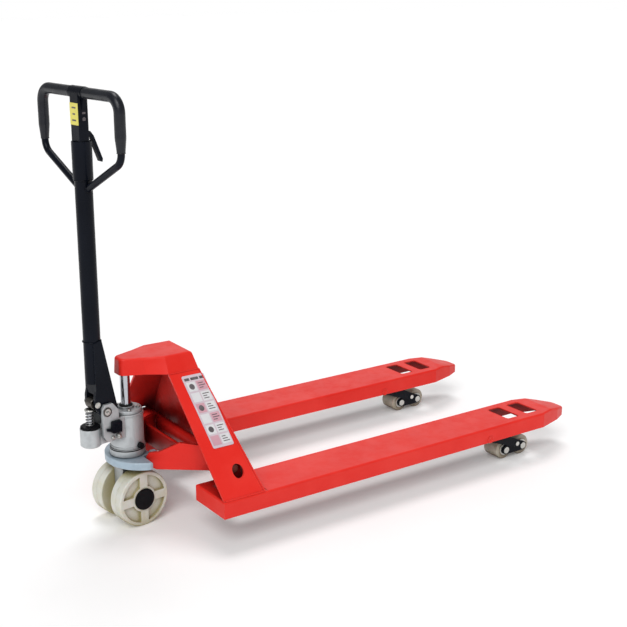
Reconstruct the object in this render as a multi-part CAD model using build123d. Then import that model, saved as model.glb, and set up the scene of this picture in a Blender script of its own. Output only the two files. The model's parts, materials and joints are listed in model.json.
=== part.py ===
from build123d import *
import os
from math import atan2, cos, degrees, radians, sin

# Hand pallet jack. +X runs forward to the fork tips, +Y to the left, +Z up, and the floor is Z = 0.
# Every shape is drawn about the steering axis (x = 0 in this file) and moved by STEER_AXIS_X when
# it is written, so that the origin is on the floor at the plan centre of the whole jack.
# The forks are drawn partly raised, which is the rest pose.

# ---- driving dimensions, millimetres and degrees
OVERALL_WIDTH = 685.0
FORK_WIDTH = 154.0
FORK_DEPTH = 48.0
FORK_TOP = 142.0
TIP_X = 1434.0
HEEL_X = 110.0
APRON_X = 240.0
WHEEL_RADIUS = 80.0
WHEEL_WIDTH = 50.0
WHEEL_SPREAD = 147.0
WHEEL_RECESS_DEPTH = 9.0
WHEEL_RECESS_RADIUS = 69.0
WHEEL_HUB_RADIUS = 37.0
WHEEL_SPOKE_WIDTH = 25.0
ROLLER_RADIUS = 32.0
ROLLER_LENGTH = 62.0
HANDLE_TOP = 1222.5
STEER_REST = 7.0
STEER_AXIS_X = -646.5

# ---- forks
PLATE = 5.0
FORK_Y = (OVERALL_WIDTH - FORK_WIDTH) / 2
FORK_BOTTOM = FORK_TOP - FORK_DEPTH
NOSE_START_X = 1296.0
NOSE_BEND_X = 1382.0
NOSE_BEND_HALF_WIDTH = 52.0
NOSE_HALF_WIDTH = 26.0
NOSE_SLOPE_X = 1342.0
NOSE_FALL = 22.0
WINDOW_X = (1164.0, 1246.0)
WINDOW_LENGTH = 50.0
WINDOW_WIDTH = 96.0

# ---- tower
TOWER_TOP_Z = 435.0
TOWER_BASE_HALF = OVERALL_WIDTH / 2 - 4.5
TOWER_TOP_HALF = 86.0
TOWER_TOP_REAR_X = 92.0
TOWER_TOP_FRONT_X = 186.0
PANEL = 6.0
PANEL_Y_WALL = 8.5
HOOD_TOP_Z = 482.0

# ---- pump
ROD_RADIUS = 14.0
RESERVOIR_RADIUS = 47.0
RESERVOIR_Z = (222.3, 324.0)
CAP_RADIUS = 43.0
CAP_THICKNESS = 10.0
RING_Z = (178.0, 199.0)
BEARING_TOP_Z = 222.0
NECK_HEIGHT = 6.0
RELIEF_PLUG_PLACE = (10.0, 231.5)
FILLER_PLUG_PLACE = (-12.0, 296.0)
PLUG_SHANK_RADIUS = 6.0
STEER_AXLE_RADIUS = 10.0
NECK_RADIUS = 34.0
PLUNGER_X = -117.0
BARREL_RADIUS = 29.0
BARREL_Z = (250.0, 302.0)
GLAND_THICKNESS = 7.0
PLUNGER_RADIUS = 8.0
PLUNGER_TOP_Z = 356.6
PLUNGER_CAP_THICKNESS = 4.0
LUG_Y = (28.0, 38.0)
RELEASE_PIVOT = (-60.0, 303.0)

# ---- handle
TILT_X = -84.0
TILT_Z = 350.0
TILT_PIN_RADIUS = 9.0
TUBE_X = -98.0
TUBE_RADIUS = 23.5
TUBE_Z = (430.0, 1084.0)
SOCKET_PLATE_Y = (17.0, 27.0)
PRESS_ROLLER_OFFSET = (-22.0, 22.0)
PRESS_ROLLER_RADIUS = 15.0
LOOP_RADIUS = 9.5
GRIP_RADIUS = 14.5
LOOP_HALF_WIDTH = 184.0
LOOP_TOP_Z = HANDLE_TOP - GRIP_RADIUS
LOOP_BOTTOM_Z = 1048.0
LOOP_ROOT = (22.0, 962.0)
LOOP_CORNER = 38.0
GRIP_START_Y = 30.0
GRIP_TAPER_Z = (1072.0, 1110.0)
HOUSING_X = (-16.5, 12.5)
HOUSING_HALF_WIDTH = 20.0
SLEEVE_RADIUS = 26.5
SLEEVE_Z = (985.0, 1084.0)
LEVER_PIN = (-86.0, 1103.0)
LEVER_PIN_RADIUS = 4.0
PRESS_PIN_RADIUS = 5.0
PULL_ROD_RADIUS = 3.0

# ---- rocker, push rods, load brackets and bogies
ROCKER_X = 186.0
ROCKER_Z = 197.0
ROCKER_PIN_RADIUS = 8.0
ROCKER_ROD_ARM = 21.7
BASE_PIN_X = 44.0
BASE_PIN_Z = 189.0
BASE_PIN_RADIUS = 7.0
BASE_SLOT = 13.0
BASE_REAR_X = -60.0
BASE_FRONT_X = 22.0
BASE_HALF_WIDTH = 108.0
BASE_BOW_RADIUS = 115.0
ROD_Y = 246.0
ROD_THICKNESS = 8.0
ROD_HALF_HEIGHT = 9.0
BRACKET_X = 1067.0
BRACKET_Z = 104.0
BRACKET_PIN_RADIUS = 8.0
BRACKET_ROD_ARM = 22.0
ROD_PIN_RADIUS = 5.0
BOGIE_X = 1207.0
BOGIE_Z = 50.0
BOGIE_SPACING = 72.0
BOGIE_SHAFT_RADIUS = 7.0
AXLE_RADIUS = 8.0
RUNNING_GAP = 0.05


def rod(radius, start, end):
    """A round bar between two points."""
    start = Vector(*start)
    end = Vector(*end)
    plane = Plane(origin=start, z_dir=end - start)
    return plane * extrude(Circle(radius), (end - start).length)


def cross_rod(radius, x, z, y_start, y_end):
    """A round bar along Y."""
    return rod(radius, (x, y_start, z), (x, y_end, z))


def upright(radius, x, y, z_start, z_end):
    """A round bar along Z."""
    return rod(radius, (x, y, z_start), (x, y, z_end))


def block(x_span, y_span, z_span):
    """A box given by its three spans."""
    size = [span[1] - span[0] for span in (x_span, y_span, z_span)]
    middle = [(span[1] + span[0]) / 2 for span in (x_span, y_span, z_span)]
    return Pos(*middle) * Box(*size)


def side_plate(points, y_start, y_end):
    """A plate in the XZ plane: an outline of (x, z) points between two y values."""
    outline = make_face(Polyline([(x, z) for x, z in points], close=True))
    plate = extrude(outline, y_end - y_start)
    return Pos(0, y_end, 0) * (Rot(90, 0, 0) * plate)


def plan_loft(lower, lower_z, upper, upper_z):
    """A straight-sided solid between two plan outlines."""
    faces = []
    for points, z in ((lower, lower_z), (upper, upper_z)):
        faces.append(make_face(Polyline([(x, y, z) for x, y in points], close=True)))
    return loft(faces, ruled=True)


def mirrored(points):
    """A closed plan outline from its right-hand half, listed from rear to front."""
    return points + [(x, -y) for x, y in reversed(points)]


def rectangle(rear_x, front_x, half_width):
    """A plan rectangle centred on the X axis."""
    return mirrored([(rear_x, -half_width), (front_x, -half_width)])


def both_sides(part):
    """The part and its mirror image about the XZ plane."""
    return [part, mirror(part, Plane.XZ)]


# ---- forks ---------------------------------------------------------------------------------------

def fork_plan(inset):
    """Plan outline of a fork about its own centre line, with a nose that tapers in two steps."""
    half = FORK_WIDTH / 2 - inset
    bend = NOSE_BEND_HALF_WIDTH - inset
    nose = NOSE_HALF_WIDTH - inset
    heel = HEEL_X + inset
    tip = TIP_X - inset
    points = [(heel, -half), (NOSE_START_X, -half), (NOSE_BEND_X, -bend), (tip, -nose)]
    outline = make_face(Polyline(mirrored(points), close=True))
    return fillet(outline.vertices().sort_by(Axis.X)[-2:], 18 - inset)


def above_nose(lowered):
    """The wedge over the nose, where the top plate bends down to the tip."""
    top = FORK_TOP - lowered
    points = [(NOSE_SLOPE_X, top), (TIP_X, top - NOSE_FALL), (TIP_X + 20, top - NOSE_FALL - 5),
              (TIP_X + 20, FORK_TOP + 20), (NOSE_SLOPE_X, FORK_TOP + 20)]
    return side_plate(points, -FORK_WIDTH, FORK_WIDTH)


def fork():
    """One fork: a folded channel, open underneath, with two windows over the rollers."""
    body = Pos(0, 0, FORK_BOTTOM) * extrude(fork_plan(0), FORK_DEPTH)
    body -= above_nose(0)
    upper = [edge for edge in body.edges() if edge.bounding_box().min.Z > FORK_TOP - NOSE_FALL - 1]
    bend_line = [edge for edge in upper if abs(edge.center().X - NOSE_SLOPE_X) < 1 and abs(edge.center().Y) < 1]
    body = fillet([edge for edge in upper if edge not in bend_line], 6)
    cavity = extrude(fork_plan(PLATE), FORK_TOP - PLATE)
    cavity -= above_nose(PLATE + 0.2)
    body -= cavity
    for start in WINDOW_X:
        window = block((start, start + WINDOW_LENGTH), (-WINDOW_WIDTH / 2, WINDOW_WIDTH / 2),
                       (FORK_TOP - 2 * PLATE, FORK_TOP + 1))
        body -= fillet(window.edges().filter_by(Axis.Z), 9)
    # a shallow line across the top, where the load surface ends and the tower's foot begins
    body -= block((APRON_X + 8, APRON_X + 11), (-FORK_WIDTH, FORK_WIDTH), (FORK_TOP - 0.8, FORK_TOP + 1))
    # the hole for the bracket's pivot pin
    body -= cross_rod(BRACKET_PIN_RADIUS, BRACKET_X, BRACKET_Z, -FORK_WIDTH, FORK_WIDTH)
    return body


def fork_left():
    part = Pos(0, FORK_Y, 0) * fork()
    return part - heel_opening(1)


def fork_right():
    part = Pos(0, -FORK_Y, 0) * fork()
    return part - heel_opening(-1)


def heel_opening(side):
    """The opening in a fork's heel that the push rod drops through, under the tower."""
    centre = side * ROD_Y
    return block((142, 233), (centre - 22, centre + 22), (FORK_TOP - PLATE - 3, FORK_TOP + 1))


# ---- tower ---------------------------------------------------------------------------------------

def tower_block(inset_y, rear_shift, front_shift):
    """The leaning block that the tower's plates are cut from."""
    lower = rectangle(HEEL_X + 3 + rear_shift, APRON_X + front_shift, TOWER_BASE_HALF - inset_y)
    top_rear_x = TOWER_TOP_REAR_X + rear_shift
    upper = rectangle(top_rear_x, TOWER_TOP_FRONT_X + front_shift, TOWER_TOP_HALF - inset_y)
    return plan_loft(lower, FORK_TOP, upper, TOWER_TOP_Z)


def apron_plate():
    """The front plate of the tower, with a skirt between the forks."""
    plate = tower_block(0, 0, 0) - tower_block(-60, -200, -PANEL)
    skirt_half = FORK_Y - FORK_WIDTH / 2
    skirt = block((APRON_X - PANEL, APRON_X), (-skirt_half, skirt_half), (FORK_BOTTOM + 6, FORK_TOP))
    return plate + skirt


def side_panels():
    """The two leaning side plates, with a round hole opposite each rocker pin."""
    sides = (tower_block(0, 0, 0) & tower_block(-60, -200, -PANEL)) - tower_block(PANEL_Y_WALL, -200, -PANEL)
    sides -= cross_rod(17, ROCKER_X, ROCKER_Z, -OVERALL_WIDTH, OVERALL_WIDTH)
    return sides.solids().sort_by(Axis.Y)


def side_panel_left():
    return side_panels()[-1]


def side_panel_right():
    return side_panels()[0]


def hood_outline(inset):
    """Plan outlines of the hood, at its lip and at its top."""
    lip = [(-24 + inset, -24 + inset), (40, -50 + inset), (92, -86 + inset), (186 - inset, -86 + inset)]
    top = [(-22 + inset, -22 + inset), (40, -43 + inset), (92, -64 + inset), (177 - inset, -62 + inset)]
    return mirrored(lip), mirrored(top)


def hood_solid(inset, bottom_z, top_z):
    """The hood's block, with its rear end rounded about the lift rod."""
    lip, top = hood_outline(inset)
    solid = plan_loft(lip, bottom_z, top, top_z)
    upright_edges = [edge for edge in solid.edges() if abs(edge.tangent_at(0.5).Z) > 0.5]
    rear_corners = [edge for edge in upright_edges if edge.center().X < 0]
    return fillet(rear_corners, 20 - inset)


def tower_head():
    """The hood over the lift rod, a pressed shell open underneath."""
    outer = hood_solid(0, TOWER_TOP_Z, HOOD_TOP_Z)
    outer = fillet(outer.edges().group_by(Axis.Z)[-1], 8)
    return outer - hood_solid(5, TOWER_TOP_Z - 1, HOOD_TOP_Z - 7)


def piston_seat():
    """The round boss in the hood that the lift rod pushes on."""
    boss = upright(16.5, 0, 0, HOOD_TOP_Z - 25, HOOD_TOP_Z - 7)
    return boss - upright(ROD_RADIUS, 0, 0, HOOD_TOP_Z - 26, HOOD_TOP_Z - 15)


def lift_rod():
    return upright(ROD_RADIUS, 0, 0, 246, HOOD_TOP_Z - 15)


def pivot_ears():
    """Upright plates on the forks that hold the rocker's pivot pins."""
    ears = []
    for side in (1, -1):
        points = [(160, FORK_TOP), (214, FORK_TOP), (206, 206), (196, 212), (176, 212), (166, 206)]
        y_span = sorted((side * 258, side * 266))
        ear = side_plate(points, *y_span)
        ear -= block((180, 192), (y_span[0] - 1, y_span[1] + 1), (FORK_TOP - 1, FORK_TOP + 12))
        ears.append(ear - cross_rod(ROCKER_PIN_RADIUS, ROCKER_X, ROCKER_Z, y_span[0] - 1, y_span[1] + 1))
    return ears


def rocker_pivot_pins():
    """Headed pins that carry the rocker."""
    shank = cross_rod(ROCKER_PIN_RADIUS, ROCKER_X, ROCKER_Z, 200, 266)
    head = cross_rod(12, ROCKER_X, ROCKER_Z, 266, 270)
    head = chamfer(head.edges().group_by(Axis.Y)[-1], 1)
    return both_sides(shank + head)


def bracket_pins():
    """The pins through each fork that the load brackets turn on."""
    pins = []
    for side in (1, -1):
        centre = side * FORK_Y
        half = FORK_WIDTH / 2
        pins.append(cross_rod(BRACKET_PIN_RADIUS, BRACKET_X, BRACKET_Z, centre - half, centre + half))
    return pins


def side_label():
    """A thin plate on the right-hand side panel."""
    lean = (TOWER_BASE_HALF - TOWER_TOP_HALF) / (TOWER_TOP_Z - FORK_TOP)
    angle = degrees(atan2(lean, 1))
    outline = make_face(Polyline([(140, 150), (205, 150), (194, 372), (124, 372)], close=True))
    outline = fillet(outline.vertices(), 5)
    plate = extrude(outline, 1)
    foot = Pos(0, -TOWER_BASE_HALF, FORK_TOP) * Rot(90 - angle, 0, 0)
    return foot * plate


# ---- base under the pump -------------------------------------------------------------------------

def base_ring():
    """The thrust plate that stays square to the forks: bowed behind, wide across, with two slotted lugs."""
    low, high = RING_Z
    ring = upright(BASE_BOW_RADIUS, BASE_REAR_X + BASE_BOW_RADIUS, 0, low, high)
    ring = ring & block((BASE_REAR_X, BASE_FRONT_X), (-BASE_HALF_WIDTH, BASE_HALF_WIDTH), (low, high))
    ring += block((0, 50), (-48, 48), (low, high))
    ring = chamfer(ring.edges().group_by(Axis.Z)[-1], 2)
    for side in (1, -1):
        outline = [(18, low), (42, low), (50, low - 5), (64, low - 5), (72, low + 3), (72, high - 2),
                   (64, high + 6), (50, high + 6), (44, high), (18, high)]
        ring += side_plate(outline, *sorted((side * 36, side * 48)))
    half = BASE_PIN_RADIUS + 1.2
    for side in (1, -1):
        span = sorted((side * 35.5, side * 49))
        ring -= block((BASE_PIN_X, BASE_PIN_X + BASE_SLOT), span, (BASE_PIN_Z - half, BASE_PIN_Z + half))
        for x in (BASE_PIN_X, BASE_PIN_X + BASE_SLOT):
            ring -= cross_rod(half, x, BASE_PIN_Z, *span)
    return ring - upright(NECK_RADIUS + RUNNING_GAP, 0, 0, low - 1, high + 1)


def thrust_bearing():
    """The bearing cup between the base and the pump, with a groove for its dust seal."""
    cup = upright(50, 0, 0, RING_Z[1], BEARING_TOP_Z)
    groove = upright(60, 0, 0, BEARING_TOP_Z - 5, BEARING_TOP_Z - 1) - upright(46.5, 0, 0, 200, 240)
    cup = chamfer(cup.edges().group_by(Axis.Z)[0], 2)
    return cup - groove - upright(NECK_RADIUS + 1, 0, 0, RING_Z[1] - 1, BEARING_TOP_Z + 1)


def bearing_seal():
    """The rubber dust seal in the groove of the bearing cup."""
    ring = upright(49, 0, 0, BEARING_TOP_Z - 5, BEARING_TOP_Z - 1)
    return ring - upright(46.5, 0, 0, BEARING_TOP_Z - 6, BEARING_TOP_Z)


# ---- pump, drawn pointing straight back and then turned by the steering angle ------------------

def pump_body():
    """The one-piece pump casting: reservoir, neck, wheel leg, plunger barrel and the handle's two lugs."""
    reservoir_low, reservoir_high = RESERVOIR_Z
    body = upright(RESERVOIR_RADIUS, 0, 0, reservoir_low, reservoir_high)
    body += upright(NECK_RADIUS, 0, 0, 162, reservoir_low)
    shoulder = upright(52, 0, 0, 166, RING_Z[0] - 0.3)
    body += chamfer(shoulder.edges().group_by(Axis.Z)[0], 5)
    half_leg = WHEEL_SPREAD / 2 - WHEEL_WIDTH - 2.5
    leg = block((-34, 34), (-half_leg, half_leg), (WHEEL_RADIUS, 170))
    leg += cross_rod(34, 0, WHEEL_RADIUS, -half_leg, half_leg)
    body += leg
    barrel = upright(BARREL_RADIUS, PLUNGER_X, 0, *BARREL_Z)
    body += chamfer(barrel.edges().group_by(Axis.Z)[0], 4)
    body += block((PLUNGER_X, 0), (-24, 24), (BARREL_Z[0] + 6, BARREL_Z[1] - 4))
    for side in (1, -1):
        body += side_plate(lug_outline(), *sorted((side * LUG_Y[0], side * LUG_Y[1])))
    body -= upright(ROD_RADIUS + RUNNING_GAP, 0, 0, 172, reservoir_high + 1)
    body -= upright(PLUNGER_RADIUS + RUNNING_GAP, PLUNGER_X, 0, BARREL_Z[0] + 8, BARREL_Z[1] + 1)
    body -= cross_rod(TILT_PIN_RADIUS, TILT_X, TILT_Z, -42, 42)
    body -= cross_rod(STEER_AXLE_RADIUS, 0, WHEEL_RADIUS, -60, 60)
    body -= plug_hole(RELIEF_PLUG_PLACE, -1)
    return body - plug_hole(FILLER_PLUG_PLACE, 1)


def lug_outline():
    """Side view of a handle lug, with a rounded rear corner over the pivot pin."""
    top = TILT_Z + 21
    return [(-98, BARREL_Z[0] + 30), (-98, top - 10), (-91, top), (-66, top), (-48, top - 22),
            (-48, RESERVOIR_Z[1] - 1), (-30, RESERVOIR_Z[1] - 1), (-30, BARREL_Z[0] + 12),
            (-84, BARREL_Z[0] + 12)]


def plug_hole(place, side):
    """A hole for a plug's shank, straight into one side of the reservoir."""
    x, z = place
    return rod(PLUG_SHANK_RADIUS, (x, side * 60, z), (x, side * 38, z))


def reservoir_cap():
    """The screwed cap on top of the reservoir, with a neck round the lift rod."""
    low = RESERVOIR_Z[1]
    high = low + CAP_THICKNESS
    cap = upright(CAP_RADIUS, 0, 0, low, high)
    cap = chamfer(cap.edges().group_by(Axis.Z)[-1], 1.5)
    cap += upright(22, 0, 0, high, high + NECK_HEIGHT)
    for x, y in cap_screw_places():
        cap -= upright(3.5, x, y, low - 1, high + 1)
    return cap - upright(ROD_RADIUS + 0.5, 0, 0, low - 1, high + NECK_HEIGHT + 1)


def cap_screw_places():
    """Where the four cap screws stand."""
    return [(33 * cos(radians(a)), 33 * sin(radians(a))) for a in (-110, -40, 40, 110)]


def cap_screws():
    """Socket screws in the reservoir cap."""
    screws = []
    for x, y in cap_screw_places():
        top = RESERVOIR_Z[1] + CAP_THICKNESS
        screw = upright(3.5, x, y, top - CAP_THICKNESS, top) + upright(5.5, x, y, top, top + 5)
        screws.append(screw - upright(2.5, x, y, top + 2, top + 6))
    return screws


def rod_wiper():
    """The rubber wiper round the lift rod."""
    low = RESERVOIR_Z[1] + CAP_THICKNESS + NECK_HEIGHT
    ring = upright(19, 0, 0, low, low + 4)
    ring = chamfer(ring.edges().group_by(Axis.Z)[-1], 1.5)
    return ring - upright(ROD_RADIUS + RUNNING_GAP, 0, 0, low - 1, low + 5)


def plunger_gland():
    """The ring nut on top of the plunger barrel, with six spanner notches in its rim."""
    low = BARREL_Z[1]
    nut = upright(BARREL_RADIUS - 2, PLUNGER_X, 0, low, low + GLAND_THICKNESS)
    nut = chamfer(nut.edges().group_by(Axis.Z)[-1], 1.5)
    for index in range(6):
        notch = block((BARREL_RADIUS - 6, BARREL_RADIUS + 2), (-3, 3), (low - 1, low + GLAND_THICKNESS + 1))
        nut -= Pos(PLUNGER_X, 0, 0) * (Rot(0, 0, 60 * index) * notch)
    return nut - upright(PLUNGER_RADIUS + RUNNING_GAP, PLUNGER_X, 0, low - 1, low + GLAND_THICKNESS + 1)


def relief_plug():
    """The black plug low on the pump's right side."""
    x, z = RELIEF_PLUG_PLACE
    head = rod(9, (x, -47.5, z), (x, -57, z))
    head = chamfer(head.edges().group_by(Axis.Y)[0], 1.5)
    return head + rod(PLUG_SHANK_RADIUS, (x, -38, z), (x, -48, z))


def filler_plug():
    """The oil filler plug on the left of the reservoir."""
    x, z = FILLER_PLUG_PLACE
    head = Plane(origin=(x, 47.5, z), z_dir=(0, 1, 0)) * extrude(RegularPolygon(9, 6), 6)
    return head + rod(PLUG_SHANK_RADIUS, (x, 38, z), (x, 48, z))


def steer_axle():
    return cross_rod(STEER_AXLE_RADIUS, 0, WHEEL_RADIUS, -75, 75)


def axle_circlips():
    """Retaining rings near the ends of the steer axle."""
    clip = cross_rod(14, 0, WHEEL_RADIUS, 72.2, 73.6) - cross_rod(STEER_AXLE_RADIUS, 0, WHEEL_RADIUS, 70, 76)
    return both_sides(clip)


def handle_pivot_pin():
    return cross_rod(TILT_PIN_RADIUS, TILT_X, TILT_Z, -41, 41)


def plunger_spring():
    """The return spring between the gland and the plunger's cap."""
    low = BARREL_Z[1] + GLAND_THICKNESS
    high = PLUNGER_TOP_Z - PLUNGER_CAP_THICKNESS
    wire = 1.3
    turns = 4
    pitch = (high - low - 2 * wire - 0.4) / turns
    path = Helix(pitch, pitch * turns, 11)
    section = Plane(origin=path @ 0, z_dir=path % 0) * Circle(wire)
    return Pos(PLUNGER_X, 0, low + wire + 0.2) * sweep(section, path)


def pump_plunger():
    return upright(PLUNGER_RADIUS, PLUNGER_X, 0, BARREL_Z[1] - 3, PLUNGER_TOP_Z - PLUNGER_CAP_THICKNESS)


def plunger_cap():
    """The hardened cap that the handle's roller presses."""
    cap = upright(14, PLUNGER_X, 0, PLUNGER_TOP_Z - PLUNGER_CAP_THICKNESS, PLUNGER_TOP_Z)
    return fillet(cap.edges().group_by(Axis.Z)[-1], 1.5)


def release_lever():
    """The black release lever, a block on the valve spindle with a tail that the chain pulls."""
    outer_y = -LUG_Y[1] - 8
    inner_y = -LUG_Y[1] - 0.6
    outline = [(-76, 290), (-72, 286), (-44, 286), (-43, 316), (-48, 320), (-74, 320)]
    body = side_plate(outline, outer_y, inner_y)
    body = fillet(body.edges().filter_by(Axis.Y), 1.5)
    tail = side_plate([(-90, 296), (-75, 292), (-75, 300), (-90, 303)], outer_y + 2, inner_y - 2)
    spindle = cross_rod(5, *RELEASE_PIVOT, outer_y - 2, outer_y + 1)
    return body + tail + spindle


# ---- steer wheels --------------------------------------------------------------------------------

def steer_wheel(side):
    """A nylon wheel with four broad spokes in the recess of its outer face."""
    inner = side * (WHEEL_SPREAD / 2 - WHEEL_WIDTH)
    outer = side * WHEEL_SPREAD / 2
    wheel = cross_rod(WHEEL_RADIUS, 0, WHEEL_RADIUS, inner, outer)
    wheel = fillet(wheel.edges().filter_by(GeomType.CIRCLE), 4)
    floor = outer - side * WHEEL_RECESS_DEPTH
    recess = cross_rod(WHEEL_RECESS_RADIUS, 0, WHEEL_RADIUS, floor, outer + side)
    recess -= cross_rod(WHEEL_HUB_RADIUS, 0, WHEEL_RADIUS, floor - side, outer + 2 * side)
    half_spoke = WHEEL_SPOKE_WIDTH / 2
    for index in range(4):
        spoke = block((-half_spoke, half_spoke), sorted((floor - side, outer + 2 * side)), (0, 80))
        recess -= Pos(0, 0, WHEEL_RADIUS) * (Rot(0, 90 * index, 0) * spoke)
    wheel -= recess
    wheel -= cross_rod(18, 0, WHEEL_RADIUS, inner - side, outer + side)
    for start in (inner, outer - side * 15):
        wheel -= cross_rod(23.5, 0, WHEEL_RADIUS, start - side, start + side * 15)
    return wheel


def wheel_bearings(side):
    """Two sealed ball bearings in a steer wheel."""
    inner = side * (WHEEL_SPREAD / 2 - WHEEL_WIDTH)
    outer = side * WHEEL_SPREAD / 2
    rings = []
    for start in (inner + side * 1, outer - side * 15.5):
        ring = cross_rod(23.5, 0, WHEEL_RADIUS, start, start + side * 13.5)
        bore = STEER_AXLE_RADIUS + RUNNING_GAP
        rings.append(ring - cross_rod(bore, 0, WHEEL_RADIUS, start - side, start + side * 15))
    return rings


def hub_cap(side):
    """The black push-in cap over the wheel's hub."""
    outer = side * WHEEL_SPREAD / 2
    cap = cross_rod(31, 0, WHEEL_RADIUS, outer, outer + side * 6)
    edge = cap.edges().filter_by(GeomType.CIRCLE).sort_by(Axis.Y)
    cap = fillet(edge[-1] if side > 0 else edge[0], 3)
    return cap - cross_rod(22, 0, WHEEL_RADIUS, outer - side, outer + side * 3.5)


# ---- handle --------------------------------------------------------------------------------------

def socket_outline():
    """Side view of a socket plate, from its toe over the cap round to its top."""
    return [(-42, 345), (-62, 336), (-84, 333), (-98, 340), (-110, 358), (-113, 372), (-113, 392),
            (-109, 410), (-109, 545), (-84.5, 552)]


def press_roller_place():
    return TILT_X + PRESS_ROLLER_OFFSET[0], TILT_Z + PRESS_ROLLER_OFFSET[1]


def handle_socket():
    """Two side plates welded to the tube and to a block under it, open behind the press roller."""
    x_roller, z_roller = press_roller_place()
    inner, outer = SOCKET_PLATE_Y
    socket = block((-109, -84), (-inner - 1, inner + 1), (TUBE_Z[0] - 30, TUBE_Z[0]))
    socket += side_plate([(-62, 410), (-84.5, 552), (-88.5, 552), (-66, 410)], -inner - 1, inner + 1)
    for side in (1, -1):
        socket += side_plate(socket_outline(), *sorted((side * inner, side * outer)))
    socket -= upright(TUBE_RADIUS, TUBE_X, 0, TUBE_Z[0], 560)
    socket -= upright(PULL_ROD_RADIUS + 1, TUBE_X, 0, TUBE_Z[0] - 31, TUBE_Z[0] + 1)
    socket -= cross_rod(TILT_PIN_RADIUS + RUNNING_GAP, TILT_X, TILT_Z, -40, 40)
    return socket - cross_rod(PRESS_PIN_RADIUS, x_roller, z_roller, -40, 40)


def press_roller_pin():
    x_roller, z_roller = press_roller_place()
    return cross_rod(PRESS_PIN_RADIUS, x_roller, z_roller, -SOCKET_PLATE_Y[1] - 3, SOCKET_PLATE_Y[1] + 3)


def press_roller():
    """The roller that pushes the plunger down."""
    x_roller, z_roller = press_roller_place()
    roller = cross_rod(PRESS_ROLLER_RADIUS, x_roller, z_roller, -14, 14)
    roller = chamfer(roller.edges().filter_by(GeomType.CIRCLE), 1)
    return roller - cross_rod(PRESS_PIN_RADIUS + RUNNING_GAP, x_roller, z_roller, -16, 16)


def handle_tube():
    """The long tube, open at its foot."""
    low, high = TUBE_Z
    tube = upright(TUBE_RADIUS, TUBE_X, 0, low, high)
    return tube - upright(TUBE_RADIUS - 3, TUBE_X, 0, low - 1, high + 1)


def loop_wire(corners):
    """A bent centre line through (y, z) corners, in the handle's own upright plane."""
    line = Polyline([(TUBE_X, y, z) for y, z in corners])
    wire = Wire(line.edges())
    inner_corners = wire.vertices().sort_by_distance(wire @ 0)[1:]
    inner_corners = [vertex for vertex in inner_corners if (vertex.center() - wire @ 1).length > 1]
    return wire.fillet_2d(LOOP_CORNER, inner_corners)


def bent_bar(radius, wire):
    """A round bar along a bent centre line."""
    section = Plane(origin=wire @ 0, z_dir=wire % 0) * Circle(radius)
    return sweep(section, path=wire)


def handle_loop():
    """The bent bar welded to the tube, cut clear of the tube and its sleeve."""
    half = LOOP_HALF_WIDTH
    root_y, root_z = LOOP_ROOT
    corners = [(root_y, root_z), (half, LOOP_BOTTOM_Z), (half, LOOP_TOP_Z), (-half, LOOP_TOP_Z),
               (-half, LOOP_BOTTOM_Z), (-root_y, root_z)]
    bar = bent_bar(LOOP_RADIUS, loop_wire(corners))
    bar -= upright(TUBE_RADIUS, TUBE_X, 0, 900, SLEEVE_Z[0])
    return bar - upright(SLEEVE_RADIUS, TUBE_X, 0, *SLEEVE_Z)


def hand_grips():
    """Two moulded sleeves over the thin bar: along the top, round the corner and tapering down the side."""
    taper_foot, taper_top = GRIP_TAPER_Z
    grips = []
    for side in (1, -1):
        corners = [(side * GRIP_START_Y, LOOP_TOP_Z), (side * LOOP_HALF_WIDTH, LOOP_TOP_Z),
                   (side * LOOP_HALF_WIDTH, taper_top)]
        wire = loop_wire(corners)
        grip = bent_bar(GRIP_RADIUS, wire)
        round_edges = grip.edges().filter_by(GeomType.CIRCLE)
        grip = fillet([edge for edge in round_edges if (edge.arc_center - wire @ 0).length < 1], 3)
        taper = Cone(LOOP_RADIUS + 1.2, GRIP_RADIUS, taper_top - taper_foot)
        grip += Pos(TUBE_X, side * LOOP_HALF_WIDTH, (taper_top + taper_foot) / 2) * taper
        grip -= bent_bar(LOOP_RADIUS, wire)
        bore = upright(LOOP_RADIUS, TUBE_X, side * LOOP_HALF_WIDTH, taper_foot - 1, taper_top + 1)
        grips.append(grip - bore)
    return grips


def lever_housing():
    """The hollow casting between the tube and the loop's top bar, with a sleeve over the tube."""
    rear_x = TUBE_X + HOUSING_X[0]
    front_x = TUBE_X + HOUSING_X[1]
    half_y = HOUSING_HALF_WIDTH
    low, high = SLEEVE_Z
    wall = 4
    body = block((rear_x, front_x), (-half_y, half_y), (high - 4, LOOP_TOP_Z))
    body = fillet(body.edges().filter_by(Axis.Z), 2)
    flare = [(-half_y, 0), (half_y, 0), (GRIP_START_Y, 44), (-GRIP_START_Y, 44)]
    gusset = extrude(make_face(Polyline(flare, close=True)), 12)
    body += Pos(TUBE_X - 6, 0, LOOP_TOP_Z - 50) * (Rot(0, 0, 90) * (Rot(90, 0, 0) * gusset))
    sleeve = upright(SLEEVE_RADIUS, TUBE_X, 0, low, high)
    body += chamfer(sleeve.edges().group_by(Axis.Z)[0], 1.5)
    body += cross_rod(16, TUBE_X, LOOP_TOP_Z, -GRIP_START_Y, GRIP_START_Y)
    body -= block((rear_x + wall, front_x - wall), (wall - half_y, half_y - wall), (low, 1180))
    body -= upright(TUBE_RADIUS, TUBE_X, 0, low - 1, high + 0.1)
    body -= cross_rod(LOOP_RADIUS, TUBE_X, LOOP_TOP_Z, -40, 40)
    x, z = LEVER_PIN
    body -= block((front_x - wall - 1, TUBE_X + 30), (-8.5, 8.5), (high + 0.1, z + 20))
    return body - cross_rod(LEVER_PIN_RADIUS, x, z, -30, 30)


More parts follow.
